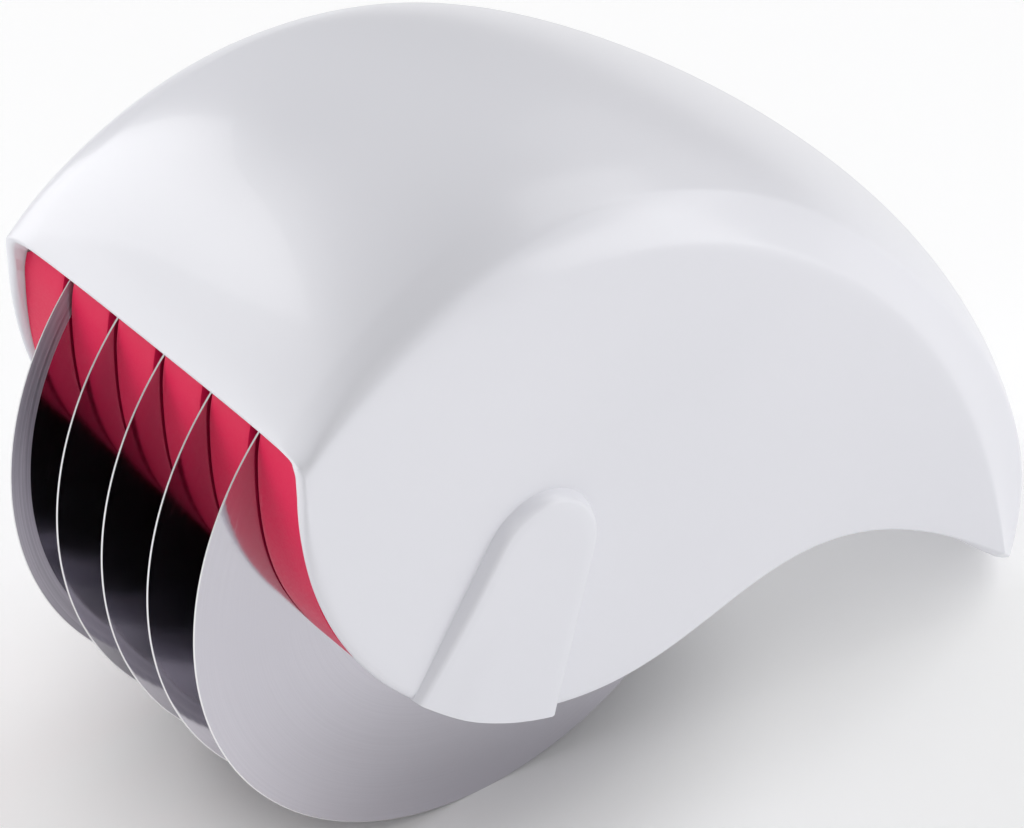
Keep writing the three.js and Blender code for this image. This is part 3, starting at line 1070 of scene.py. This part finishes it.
    def boss(self, side: Side) -> bpy.types.Object:
        """Raised boss: loops of the tapered U that round over as they rise, then shrink over its face.

        Args:
            side: cheek that it is on.

        Returns:
            The closed boss, which starts inside the wall.
        """
        flat = [self.boss_loop(self.boss_radius + grow) for grow, _ in self.boss_levels]
        middle = flat[-1].mean(axis=0)
        flat += [middle + (flat[-1] - middle) * share for share in self.boss_rings]
        rises = [rise for _, rise in self.boss_levels] + [1.0] * len(self.boss_rings)
        loops = [at_x(flat[0], side.value * (self.cheek_x - self.boss_sink * self.wall))]
        loops += [at_x(loop, side.value * (self.cheek_x + self.boss_height * rise * self.boss_share(loop)))
                  for loop, rise in zip(flat, rises)]
        return loops_solid(f"boss_{side.word}", np.array(loops))

    def channel(self, side: Side) -> bpy.types.Object:
        """Space for a bearing shoe: the same U, smaller, from inside the shell to a floor behind the boss.

        Args:
            side: cheek that it is in.

        Returns:
            The solid to cut away.
        """
        inner, chamfer = self.cheek_x - self.wall, self.channel_chamfer
        floor = inner + self.channel_depth
        radius = self.boss_radius - self.boss_rim
        levels = ((radius, inner - self.wall), (radius, floor - chamfer), (radius - chamfer, floor))
        loops = [at_x(self.tapered_u(size, (self.channel_leg, self.channel_leg)), side.value * x)
                 for size, x in levels]
        return loops_solid(f"channel_{side.word}", np.array(loops))

    def socket(self, side: Side, place: Array) -> bpy.types.Object:
        """Round blind hole for a peg of the comb.

        Args:
            side: cheek that it is in.
            place: (Y, Z) of its middle.

        Returns:
            The solid to cut away.
        """
        loop = place + (self.peg_radius + self.layout.fit_gap) * circle(self.socket_segments)
        ends = (self.cheek_x - 2.0 * self.wall, self.peg_reach + self.layout.fit_gap)
        return loops_solid(f"socket_{side.word}", np.array([at_x(loop, side.value * x) for x in ends]))

    def table(self) -> bpy.types.Object:
        """Slab under the table plane, which cuts the flat foot of the tail.

        Returns:
            The solid to cut away.
        """
        corner = np.array([[-1.0, 0.0], [1.0, 0.0], [1.0, 1.0], [-1.0, 1.0]])
        x = corner[:, 0] * 2.0 * self.cheek_x
        y = self.layout.blade_radius * (1.0 + 2.0 * corner[:, 1])
        top = self.layout.table_z
        loops = [np.stack([x, y, np.full(4, z)], axis=1) for z in (top - self.table_thickness, top)]
        return loops_solid("table_cut", np.array(loops))

    def build(self, materials: Materials, peg_place: Array) -> None:
        """Shell with bosses added and channels, sockets and foot cut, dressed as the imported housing.

        Args:
            materials: the finishes.
            peg_place: (Y, Z) of the comb's pegs.
        """
        body = self.shell()
        tools = [(self.boss(side), Join.ADD) for side in Side]
        tools += [(self.channel(side), Join.CUT) for side in Side]
        tools += [(self.socket(side, peg_place), Join.CUT) for side in Side]
        tools.append((self.table(), Join.CUT))
        combine(body, tools)
        dress(body, self.crease, materials.of(Finish.WHITE_GLOSS), "housing", "housing")


@dataclass
class StripperComb:
    """Red comb behind the front edge of the cheeks: a bar behind the rim, and fingers between the blades.

    bar_end and end are stations of the rails. peg_levels pairs the share of the peg's radius with its reach
    beyond the half width.
    """

    layout: Layout
    housing: Housing
    crease: float = 35.0
    recess: Span = (1.3, 0.15)
    recess_span: Span = (0.0, 0.3)
    thickness: float = 2.6
    half_width: float = 29.9
    bar_half_width: float = 29.2
    bar_gap: float = 0.3
    bar_end: float = 0.06
    bar_least: float = 0.6
    end: float = 0.56
    slot_left: float = 1.3
    slot_right: float = 0.75
    slot_tip_gap: float = 0.5
    samples: int = 200
    passes: int = 3
    rows: int = 84
    cells: int = 8
    round_edge: float = 0.4
    round_steps: int = 3
    round_angle: float = 50.0
    peg_depth: float = 2.2
    peg_levels: Points = ((1.0, -2.0), (1.0, 0.8), (0.85, 1.1))
    peg_segments: int = 32

    def face(self, x: Array) -> tuple[Array, Array, Array]:
        """Outer face of the comb in (Y, Z), from the end of the bar round the rim and down the front edge.

        The bar runs a gap below the inner skin of the crown. The apron is the front edge moved inwards along
        its normal by the recess, which lessens on the way down. The two are joined, evened out by length
        along the middle and softened by averaging.

        Args:
            x: places along the axle, one a column.

        Returns:
            The points by row and column, the unit normals towards the axle by row, and whether each row is on
            the bar.
        """
        share = np.linspace(0.0, 1.0, self.samples)
        bar = self.housing.under_crown(share[::-1] * self.bar_end, x, self.bar_gap)
        edge = self.housing.rail(self.housing.front_edge, share * self.end)
        recess = between(self.recess, smoothstep(*self.recess_span, share * self.end))
        apron = np.repeat((edge + self.normals(edge) * recess[:, None])[:, None], len(x), axis=1)
        face = np.concatenate([bar, apron])
        middle = face[:, len(x) // 2]
        length = np.concatenate([[0.0], np.cumsum(np.linalg.norm(np.diff(middle, axis=0), axis=1))])
        even = np.linspace(0.0, length[-1], self.rows + 1)
        place = np.interp(even, length, np.arange(len(face)))
        low = np.minimum(place.astype(int), len(face) - 2)
        part = (place - low)[:, None, None]
        points = face[low] * (1.0 - part) + face[low + 1] * part
        for _ in range(self.passes):
            points[1:-1] = averaged(points[:-2], points[1:-1], points[2:])
        return points, self.normals(points[:, len(x) // 2]), even < length[len(bar) - 1]

    @staticmethod
    def normals(curve: Array) -> Array:
        """Unit normals of a plane curve, towards the axle.

        Args:
            curve: points (Y, Z) in order.

        Returns:
            One normal for each point.
        """
        ahead = unit(np.gradient(curve, axis=0))
        normal = np.stack([ahead[:, 1], -ahead[:, 0]], axis=1)
        return normal * np.sign(np.sum(normal * -curve, axis=1, keepdims=True))

    def peg_place(self) -> Array:
        """Middle of a peg: half way down the comb's part of the front edge, a little behind the edge.

        Returns:
            Its place (Y, Z).
        """
        t = self.end / 2.0 + CURVE_STEP * np.array([-1.0, 0.0, 1.0])
        curve = self.housing.rail(self.housing.front_edge, t)
        ahead = unit(curve[2] - curve[0])
        return curve[1] - np.array([ahead[1], -ahead[0]]) * self.peg_depth

    def columns(self) -> tuple[Array, Array]:
        """Columns of the grid, in equal steps between the lines where a slot, the bar or the comb ends.

        Returns:
            X of each column, and for each cell whether it is in a slot.
        """
        middle = self.layout.blade_places()
        low, high = middle - self.slot_left, middle + self.slot_right
        ends = np.array([self.half_width, self.bar_half_width])
        lines = np.sort(np.concatenate([-ends, ends, low, high]))
        share = np.linspace(0.0, 1.0, self.cells + 1)[:-1]
        x = np.append((lines[:-1, None] + np.diff(lines)[:, None] * share[None]).reshape(-1), lines[-1])
        centre = (x[:-1] + x[1:]) / 2.0
        inside = (centre[:, None] > low[None]) & (centre[:, None] < high[None])
        return x, np.any(inside, axis=1)

    def sheet(self) -> bpy.types.Object:
        """Comb as a thick sheet on a grid of its outer face, with the slot cells left out.

        A point is (x, face point + normal * depth), with depth 0 on the outer face. On the inner face it is
        the thickness, or inside a slot line on the bar only what stays clear of the blade.

        Returns:
            The closed comb with rounded edges, without its pegs.
        """
        x, in_slot = self.columns()
        face, normal, on_bar = self.face(x)
        rows, columns = face.shape[:2]
        clear = np.linalg.norm(face, axis=2) - self.layout.blade_radius - self.slot_tip_gap
        low = np.minimum(clear[:-1], clear[1:])
        keep = ~(in_slot[None, :] & (np.minimum(low[:, :-1], low[:, 1:]) < self.bar_least))
        wide = np.abs((x[:-1] + x[1:]) / 2.0) > self.bar_half_width
        keep &= ~(wide[None, :] & on_bar[:-1, None])
        mid_slot = np.zeros(columns, bool)
        mid_slot[1:-1] = in_slot[:-1] & in_slot[1:]
        depth = np.where(mid_slot[None, :], np.clip(clear, self.bar_least, self.thickness), self.thickness)
        front = np.empty((rows, columns, 3))
        front[:, :, 0] = x[None, :]
        front[:, :, 1:] = face
        back = front.copy()
        back[:, :, 1:] += normal[:, None, :] * depth[:, :, None]
        points = np.concatenate([front.reshape(-1, 3), back.reshape(-1, 3)])
        comb = new_piece("red_comb", points, self.sheet_quads(keep))
        rounding = comb.modifiers.new("rounded_edges", "BEVEL")
        rounding.width = self.round_edge * MILLIMETRE
        rounding.segments = self.round_steps
        rounding.limit_method = "ANGLE"
        rounding.angle_limit = math.radians(self.round_angle)
        apply_modifiers(comb)
        return comb

    @staticmethod
    def sheet_quads(keep: Array) -> Array:
        """Quads of a thick sheet on a grid: both faces of each kept cell, and a wall beside each missing one.

        Args:
            keep: whether each cell is kept, by row and column.

        Returns:
            Point numbers, four a quad, for the front grid's points followed by the back grid's.
        """
        rows, columns = keep.shape[0] + 1, keep.shape[1] + 1
        number = np.arange(rows * columns).reshape(rows, columns)
        under = number + rows * columns
        faces = grid_quads(rows, columns)[keep.reshape(-1)]
        framed = np.pad(keep, 1)
        walls = []
        for shift, a, b in (((0, -1), (0, 0), (1, 0)), ((0, 1), (0, 1), (1, 1)),
                            ((-1, 0), (0, 0), (0, 1)), ((1, 0), (1, 0), (1, 1))):
            beside = np.roll(framed, (-shift[0], -shift[1]), axis=(0, 1))[1:-1, 1:-1]
            i, j = np.nonzero(keep & ~beside)
            p, q = (i + a[0], j + a[1]), (i + b[0], j + b[1])
            walls.append(np.stack([number[p], number[q], under[q], under[p]], axis=1))
        return np.concatenate([faces, faces[:, ::-1] + rows * columns, *walls])

    def peg(self, side: Side) -> bpy.types.Object:
        """Round peg with a chamfered end, from inside the outer finger into the cheek's socket.

        Args:
            side: end of the comb that it is on.

        Returns:
            The closed peg.
        """
        ring = self.housing.peg_radius * circle(self.peg_segments)
        loops = [at_x(self.peg_place() + ring * size, side.value * (self.half_width + beyond))
                 for size, beyond in self.peg_levels]
        return loops_solid(f"peg_{side.word}", np.array(loops))

    def build(self, materials: Materials) -> None:
        """Comb with its pegs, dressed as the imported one.

        Args:
            materials: the finishes.
        """
        comb = self.sheet()
        combine(comb, [(self.peg(side), Join.ADD) for side in Side])
        dress(comb, self.crease, materials.of(Finish.RED_PLASTIC), "housing", "stripper_comb")


@dataclass
class Roller:
    """Five blades clamped on an axle with spacer sleeves, washers and nuts, kept in the shoes by clips.

    The spans of washer, nut, clip and shoe are where each starts and ends on the axle, out from the middle.
    edge_points pairs the depth below the rim of the cutting edge's points with their shift along the axle.
    """

    layout: Layout
    housing: Housing
    crease: float = 30.0
    blade_thickness: float = 0.8
    blade_crease: float = 6.0
    blade_segments: int = 240
    hub_radius: float = 12.0
    bevel_width: float = 2.6
    bevel_blend: float = 0.2
    second_bevel: float = 0.3
    edge_thickness: float = 0.2
    edge_points: Points = ((0.12, -0.03), (0.0, 0.05), (0.16, -0.01))
    bore: float = 2.8
    axle_radius: float = 2.5
    axle_end: float = 32.1
    axle_chamfer: float = 0.4
    axle_segments: int = 64
    spacer_radius: float = 8.0
    spacer_length: float = 8.6
    spacer_chamfer: float = 0.5
    waist_span: Span = (2.2, 2.6)
    waist_depth: float = 0.35
    clamp_crease: float = 25.0
    ring_segments: int = 96
    washer_radius: float = 7.0
    washer_span: Span = (20.7, 21.9)
    washer_chamfer: float = 0.2
    nut_flats: float = 9.0
    nut_span: Span = (22.2, 27.9)
    nut_chamfer: float = 0.45
    nut_bore_chamfer: float = 0.3
    nut_segments: int = 144
    clip_radius: float = 4.6
    clip_span: Span = (31.5, 32.1)
    clip_chamfer: float = 0.12
    clip_tongues: int = 6
    clip_segments: int = 192
    notch_depth: float = 0.7
    notch_span: Span = (0.55, 0.8)
    shoe_span: Span = (28.4, 31.2)
    shoe_radius: float = 5.9
    shoe_drop: float = 13.0
    shoe_round: float = 0.35
    shoe_round_start: float = 0.3
    shoe_bore_chamfer: float = 0.25
    shoe_segments: int = 240
    outline_steps: int = 40

    def blade(self, number: int, ground: Side) -> bpy.types.Object:
        """Blade: a disc with a wide ground bevel on one face and a narrow second bevel on the other.

        Args:
            number: number of the blade, from 1 at the left.
            ground: side that its wide bevel faces.

        Returns:
            The blade, with its face, bevel and edge as materials 0, 1 and 2.
        """
        radius = -self.layout.table_z
        half = self.blade_thickness / 2.0
        tip = half - self.edge_thickness
        bevel = radius - self.bevel_width
        edge = [(radius - deep, x + shift) for (deep, shift), x in zip(self.edge_points, (tip, tip, half))]
        rings = np.array([(self.bore, -half), (self.hub_radius, -half), (bevel - self.bevel_blend, -half),
                          (bevel, -half), *edge, (radius - self.second_bevel, half), (self.hub_radius, half),
                          (self.bore, half)])
        x = self.layout.blade_places()[number - 1] + rings[:, 1] * -ground.value
        piece = turned_ring(f"blade_{number}_ground", rings[:, 0], x, self.blade_segments)
        material = np.array([0, 0, 0, 1, 2, 2, 0, 0, 0, 0], np.int32)
        piece.data.polygons.foreach_set("material_index", np.repeat(material, self.blade_segments))
        return piece

    def spacer(self, number: int) -> bpy.types.Object:
        """Sleeve between two blades, with chamfered ends and a shallow waist.

        Args:
            number: number of the blade on its left.

        Returns:
            The closed sleeve.
        """
        first = self.layout.blade_places()[number - 1] + self.blade_thickness / 2.0 + self.layout.fit_gap
        last = first + self.spacer_length
        r, c = self.spacer_radius, self.spacer_chamfer
        radius = np.array([self.bore, r - c, r, r, r - self.waist_depth])
        inset = np.array([0.0, 0.0, c, *self.waist_span])
        return turned_ring(f"spacer_sleeve_{number}", np.concatenate([radius, radius[::-1]]),
                           np.concatenate([first + inset, last - inset[::-1]]), self.ring_segments)

    @staticmethod
    def flat_ring(name: str, span: Span, bore: Array, rim: float, chamfer: float,
                  side: Side) -> bpy.types.Object:
        """Flat ring about the axle with broken outer edges.

        Args:
            name: first word of the object's name.
            span: start and end along the axle.
            bore: radius of the bore at each angle.
            rim: outer radius.
            chamfer: width of the broken edges.
            side: end of the axle that it is on.

        Returns:
            The closed ring.
        """
        a, b = span
        full = np.full_like(bore, rim)
        radius = np.stack([bore, bore, full - chamfer, full, full, full - chamfer])
        x = np.array([b, a, a, a + chamfer, b - chamfer, b]) * side.value
        return turned_ring(f"{name}_{side.word}", radius, x, len(bore))

    def washer(self, side: Side) -> bpy.types.Object:
        """Flat clamp washer with broken edges."""
        bore = np.full(self.ring_segments, self.bore)
        return self.flat_ring("washer", self.washer_span, bore, self.washer_radius, self.washer_chamfer, side)

    def clip(self, side: Side) -> bpy.types.Object:
        """Push-on clip: a thin ring whose bore has a notch beside each of its spring tongues.

        Args:
            side: end of the axle that it is on.

        Returns:
            The closed clip.
        """
        notch = smoothstep(*self.notch_span, np.cos(self.clip_tongues * angles(self.clip_segments)))
        bore = self.bore + self.notch_depth * notch
        return self.flat_ring("clip", self.clip_span, bore, self.clip_radius, self.clip_chamfer, side)

    def nut(self, side: Side) -> bpy.types.Object:
        """Hexagon nut: radius flat / cos(angle from the middle of a flat), drawn in to a circle at its ends.

        Args:
            side: end of the axle that it is on.

        Returns:
            The closed nut.
        """
        (a, b), flat, c, d = self.nut_span, self.nut_flats / 2.0, self.nut_chamfer, self.nut_bore_chamfer
        sixth = FULL_TURN / 6.0
        hexagon = flat / np.cos((angles(self.nut_segments) + sixth / 2.0) % sixth - sixth / 2.0)
        ends = np.full_like(hexagon, flat)
        bore = np.full_like(hexagon, self.bore)
        radius = np.stack([bore + d, bore, bore, bore + d, ends, hexagon, hexagon, ends])
        x = np.array([b, b - d, a + d, a, a, a + c, b - c, b]) * side.value
        return turned_ring(f"nut_{side.word}", radius, x, self.nut_segments)

    def axle(self) -> bpy.types.Object:
        """Rod with chamfered ends, as a stack of circles about the axle line.

        Returns:
            The closed rod.
        """
        r, e, c = self.axle_radius, self.axle_end, self.axle_chamfer
        radius = np.array([r - c, r, r, r, r - c])
        x = np.array([-e, -e + c, 0.0, e - c, e])
        return loops_solid("axle_rod", circles(radius, x, self.axle_segments))

    def shoe(self, side: Side) -> bpy.types.Object:
        """Bearing shoe: a block that fills the head of the channel, bored on the axle line.

        The U outline is read as a radius for each angle about the axle, so the block is one ring whose outer
        radius follows the outline and whose edges are rounded by drawing that radius in.

        Args:
            side: end of the axle that it is on.

        Returns:
            The closed shoe.
        """
        loop = self.housing.tapered_u(self.shoe_radius, (self.shoe_drop, self.shoe_drop))
        step = np.linspace(0.0, 1.0, self.outline_steps, endpoint=False)[:, None]
        dense = (loop[:, None] + (np.roll(loop, -1, axis=0) - loop)[:, None] * step[None]).reshape(-1, 2)
        polar = np.arctan2(dense[:, 0], dense[:, 1]) % FULL_TURN
        order = np.argsort(polar)
        outline = np.interp(angles(self.shoe_segments), polar[order], np.linalg.norm(dense, axis=1)[order],
                            period=FULL_TURN)
        (a, b), c, d = self.shoe_span, self.shoe_round, self.shoe_bore_chamfer
        e = self.shoe_round_start * c
        bore = np.full_like(outline, self.bore)
        radius = np.stack([bore + d, bore, bore, bore + d, outline - c, outline - e, outline, outline,
                           outline - e, outline - c])
        x = np.array([b, b - d, a + d, a, a, a + e, a + c, b - c, b - e, b]) * side.value
        return turned_ring(f"shoe_{side.word}", radius, x, self.shoe_segments)

    def build(self, materials: Materials) -> None:
        """Every piece of the roller and its two shoes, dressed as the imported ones.

        Args:
            materials: the finishes.
        """
        steel, sleeve = materials.of(Finish.PLAIN_STEEL), materials.of(Finish.GREY_PLASTIC)
        ground = materials.of(Finish.BLADE_FACE, Finish.BLADE_BEVEL_PAINTED_SHADE, Finish.BLADE_EDGE_PAINTED_HIGHLIGHT)
        for number in range(1, self.layout.blade_count + 1):
            piece = self.blade(number, Side.RIGHT if number == 1 else Side.LEFT)
            dress(piece, self.blade_crease, ground, "roller", f"blade_{number}")
        for number in range(1, self.layout.blade_count):
            dress(self.spacer(number), self.crease, sleeve, "roller", f"spacer_{number}")
        dress(self.axle(), self.crease, steel, "roller", "axle")
        for side in Side:
            for piece, node in ((self.washer(side), f"clamp_washer_{side.word}"),
                                (self.nut(side), f"clamp_nut_{side.word}"),
                                (self.clip(side), f"axle_clip_{side.word}")):
                dress(piece, self.clamp_crease, steel, "roller", node)
            node = f"bearing_shoe_{side.word}"
            dress(self.shoe(side), self.crease, sleeve, "carriage", node)


@dataclass(frozen=True)
class Softbox:
    """Soft studio light: azimuth and elevation in degrees, power in watts, distance and size in metres."""

    name: str
    azimuth: float
    elevation: float
    power: float
    distance: float = 1.5
    size: float = 0.8


@dataclass
class Studio:
    """Pale floor, soft lights and the camera at the photograph's viewing angle.

    The camera's angles are in degrees, and its distance, slides, lens and sensor in millimetres. Lengths of
    the floor and the lights, and clip_start, are in metres.
    """

    azimuth: float = 52.185
    elevation: float = 35.733
    distance: float = 604.808
    slide_right: float = 16.265
    slide_up: float = 4.136
    lens: float = 165.557
    sensor: float = 36.0
    clip_start: float = 0.01
    floor_half: float = 3.0
    floor_colour: Colour = (0.86, 0.86, 0.865)
    floor_roughness: float = 0.6
    mottle_scale: float = 6.0
    mottle_tone: float = 0.985
    # Painted glow of the floor; the span below is where it fades out round the roller, as a painted shadow.
    floor_glow: float = 0.25
    painted_shadow_span: Span = (0.02, 0.055)
    sky: float = 0.25
    light_aim: tuple[float, float, float] = (0.0, 0.0, 0.05)
    lights: tuple[Softbox, ...] = (
        Softbox("key_box", 292.5, 28.0, 9.8),
        Softbox("right_back_low_box", 135.0, 8.0, 5.8),
        Softbox("front_low_box", 315.0, 8.0, 5.4),
        Softbox("right_back_box", 157.5, 28.0, 3.7),
        Softbox("back_high_box", 180.0, 48.0, 3.6),
        Softbox("front_right_high_box", 45.0, 48.0, 2.8),
        Softbox("right_box", 67.5, 28.0, 1.6),
        Softbox("back_left_box", 202.5, 28.0, 1.0),
    )

    def camera(self) -> None:
        """Camera on a sphere about the axle, with a small slide right and up."""
        axes = facing(self.azimuth, self.elevation)
        data = bpy.data.cameras.new("photo_camera")
        data.lens = self.lens
        data.sensor_width = self.sensor
        data.sensor_fit = "HORIZONTAL"
        data.clip_start = self.clip_start
        place = to_part(axes @ np.array([self.slide_right, self.slide_up, self.distance]))[0]
        bpy.context.scene.camera = put(data, axes, place)

    def floor(self) -> None:
        """Wide floor sheet on Z = 0 with a faint mottle and a painted glow, which fades out near the roller
        as a painted shadow under it.
        """
        h = self.floor_half
        mesh = bpy.data.meshes.new("studio_floor")
        mesh.from_pydata([(-h, -h, 0.0), (h, -h, 0.0), (h, h, 0.0), (-h, h, 0.0)], [], [(0, 1, 2, 3)])
        sheet = bpy.data.objects.new("studio_floor", mesh)
        bpy.context.scene.collection.objects.link(sheet)
        material, nodes, shader = new_material("studio_floor")
        place = nodes.place()
        mottle = nodes.noise(place, self.mottle_scale, 2.0)
        darker = tuple(self.mottle_tone * c for c in self.floor_colour)
        roller = (0.0, AXLE[1], 0.0)
        from_roller = nodes.add("ShaderNodeVectorMath", {0: place, 1: roller}, operation="DISTANCE")
        # No glow close to the roller: a painted shadow on the floor under the blades.
        past_painted_shadow = nodes.map_range(from_roller.outputs["Value"], self.painted_shadow_span, WHOLE)
        nodes.feed(shader, {
            "Base Color": nodes.mix(mottle, self.floor_colour, darker),
            "Emission Color": nodes.mix(past_painted_shadow, BLACK, WHITE),
            "Roughness": self.floor_roughness,
            "Emission Strength": self.floor_glow})
        mesh.materials.append(material)

    def light(self, box: Softbox) -> None:
        """Square area light that faces the part's middle.

        Args:
            box: the light's place, power and size.
        """
        data = bpy.data.lights.new(box.name, "AREA")
        data.shape = "SQUARE"
        data.size = box.size
        data.energy = box.power
        axes = facing(box.azimuth, box.elevation)
        put(data, axes, np.array(self.light_aim) + axes[:, 2] * box.distance)

    def build(self) -> None:
        """Floor, world light, soft boxes, camera and a plain view transform."""
        scene = bpy.context.scene
        world = bpy.data.worlds.new("studio_air")
        world.use_nodes = True
        air = Nodes(world.node_tree)
        air.feed(air.tree.nodes["Background"], {"Color": (*WHITE, 1.0), "Strength": self.sky})
        scene.world = world
        scene.view_settings.view_transform = "Standard"
        scene.view_settings.look = "None"
        self.floor()
        for box in self.lights:
            self.light(box)
        self.camera()
        LOG.info("studio: %d soft boxes", len(self.lights))


def main() -> None:
    """Builds the studio and every piece of the part, in order."""
    logging.basicConfig(level=logging.INFO, format="%(name)s: %(message)s")
    Studio().build()
    materials = Materials()
    layout = Layout()
    housing = Housing(layout)
    comb = StripperComb(layout, housing)
    housing.build(materials, comb.peg_place())
    comb.build(materials)
    Roller(layout, housing).build(materials)


if __name__ == "__main__":
    main()
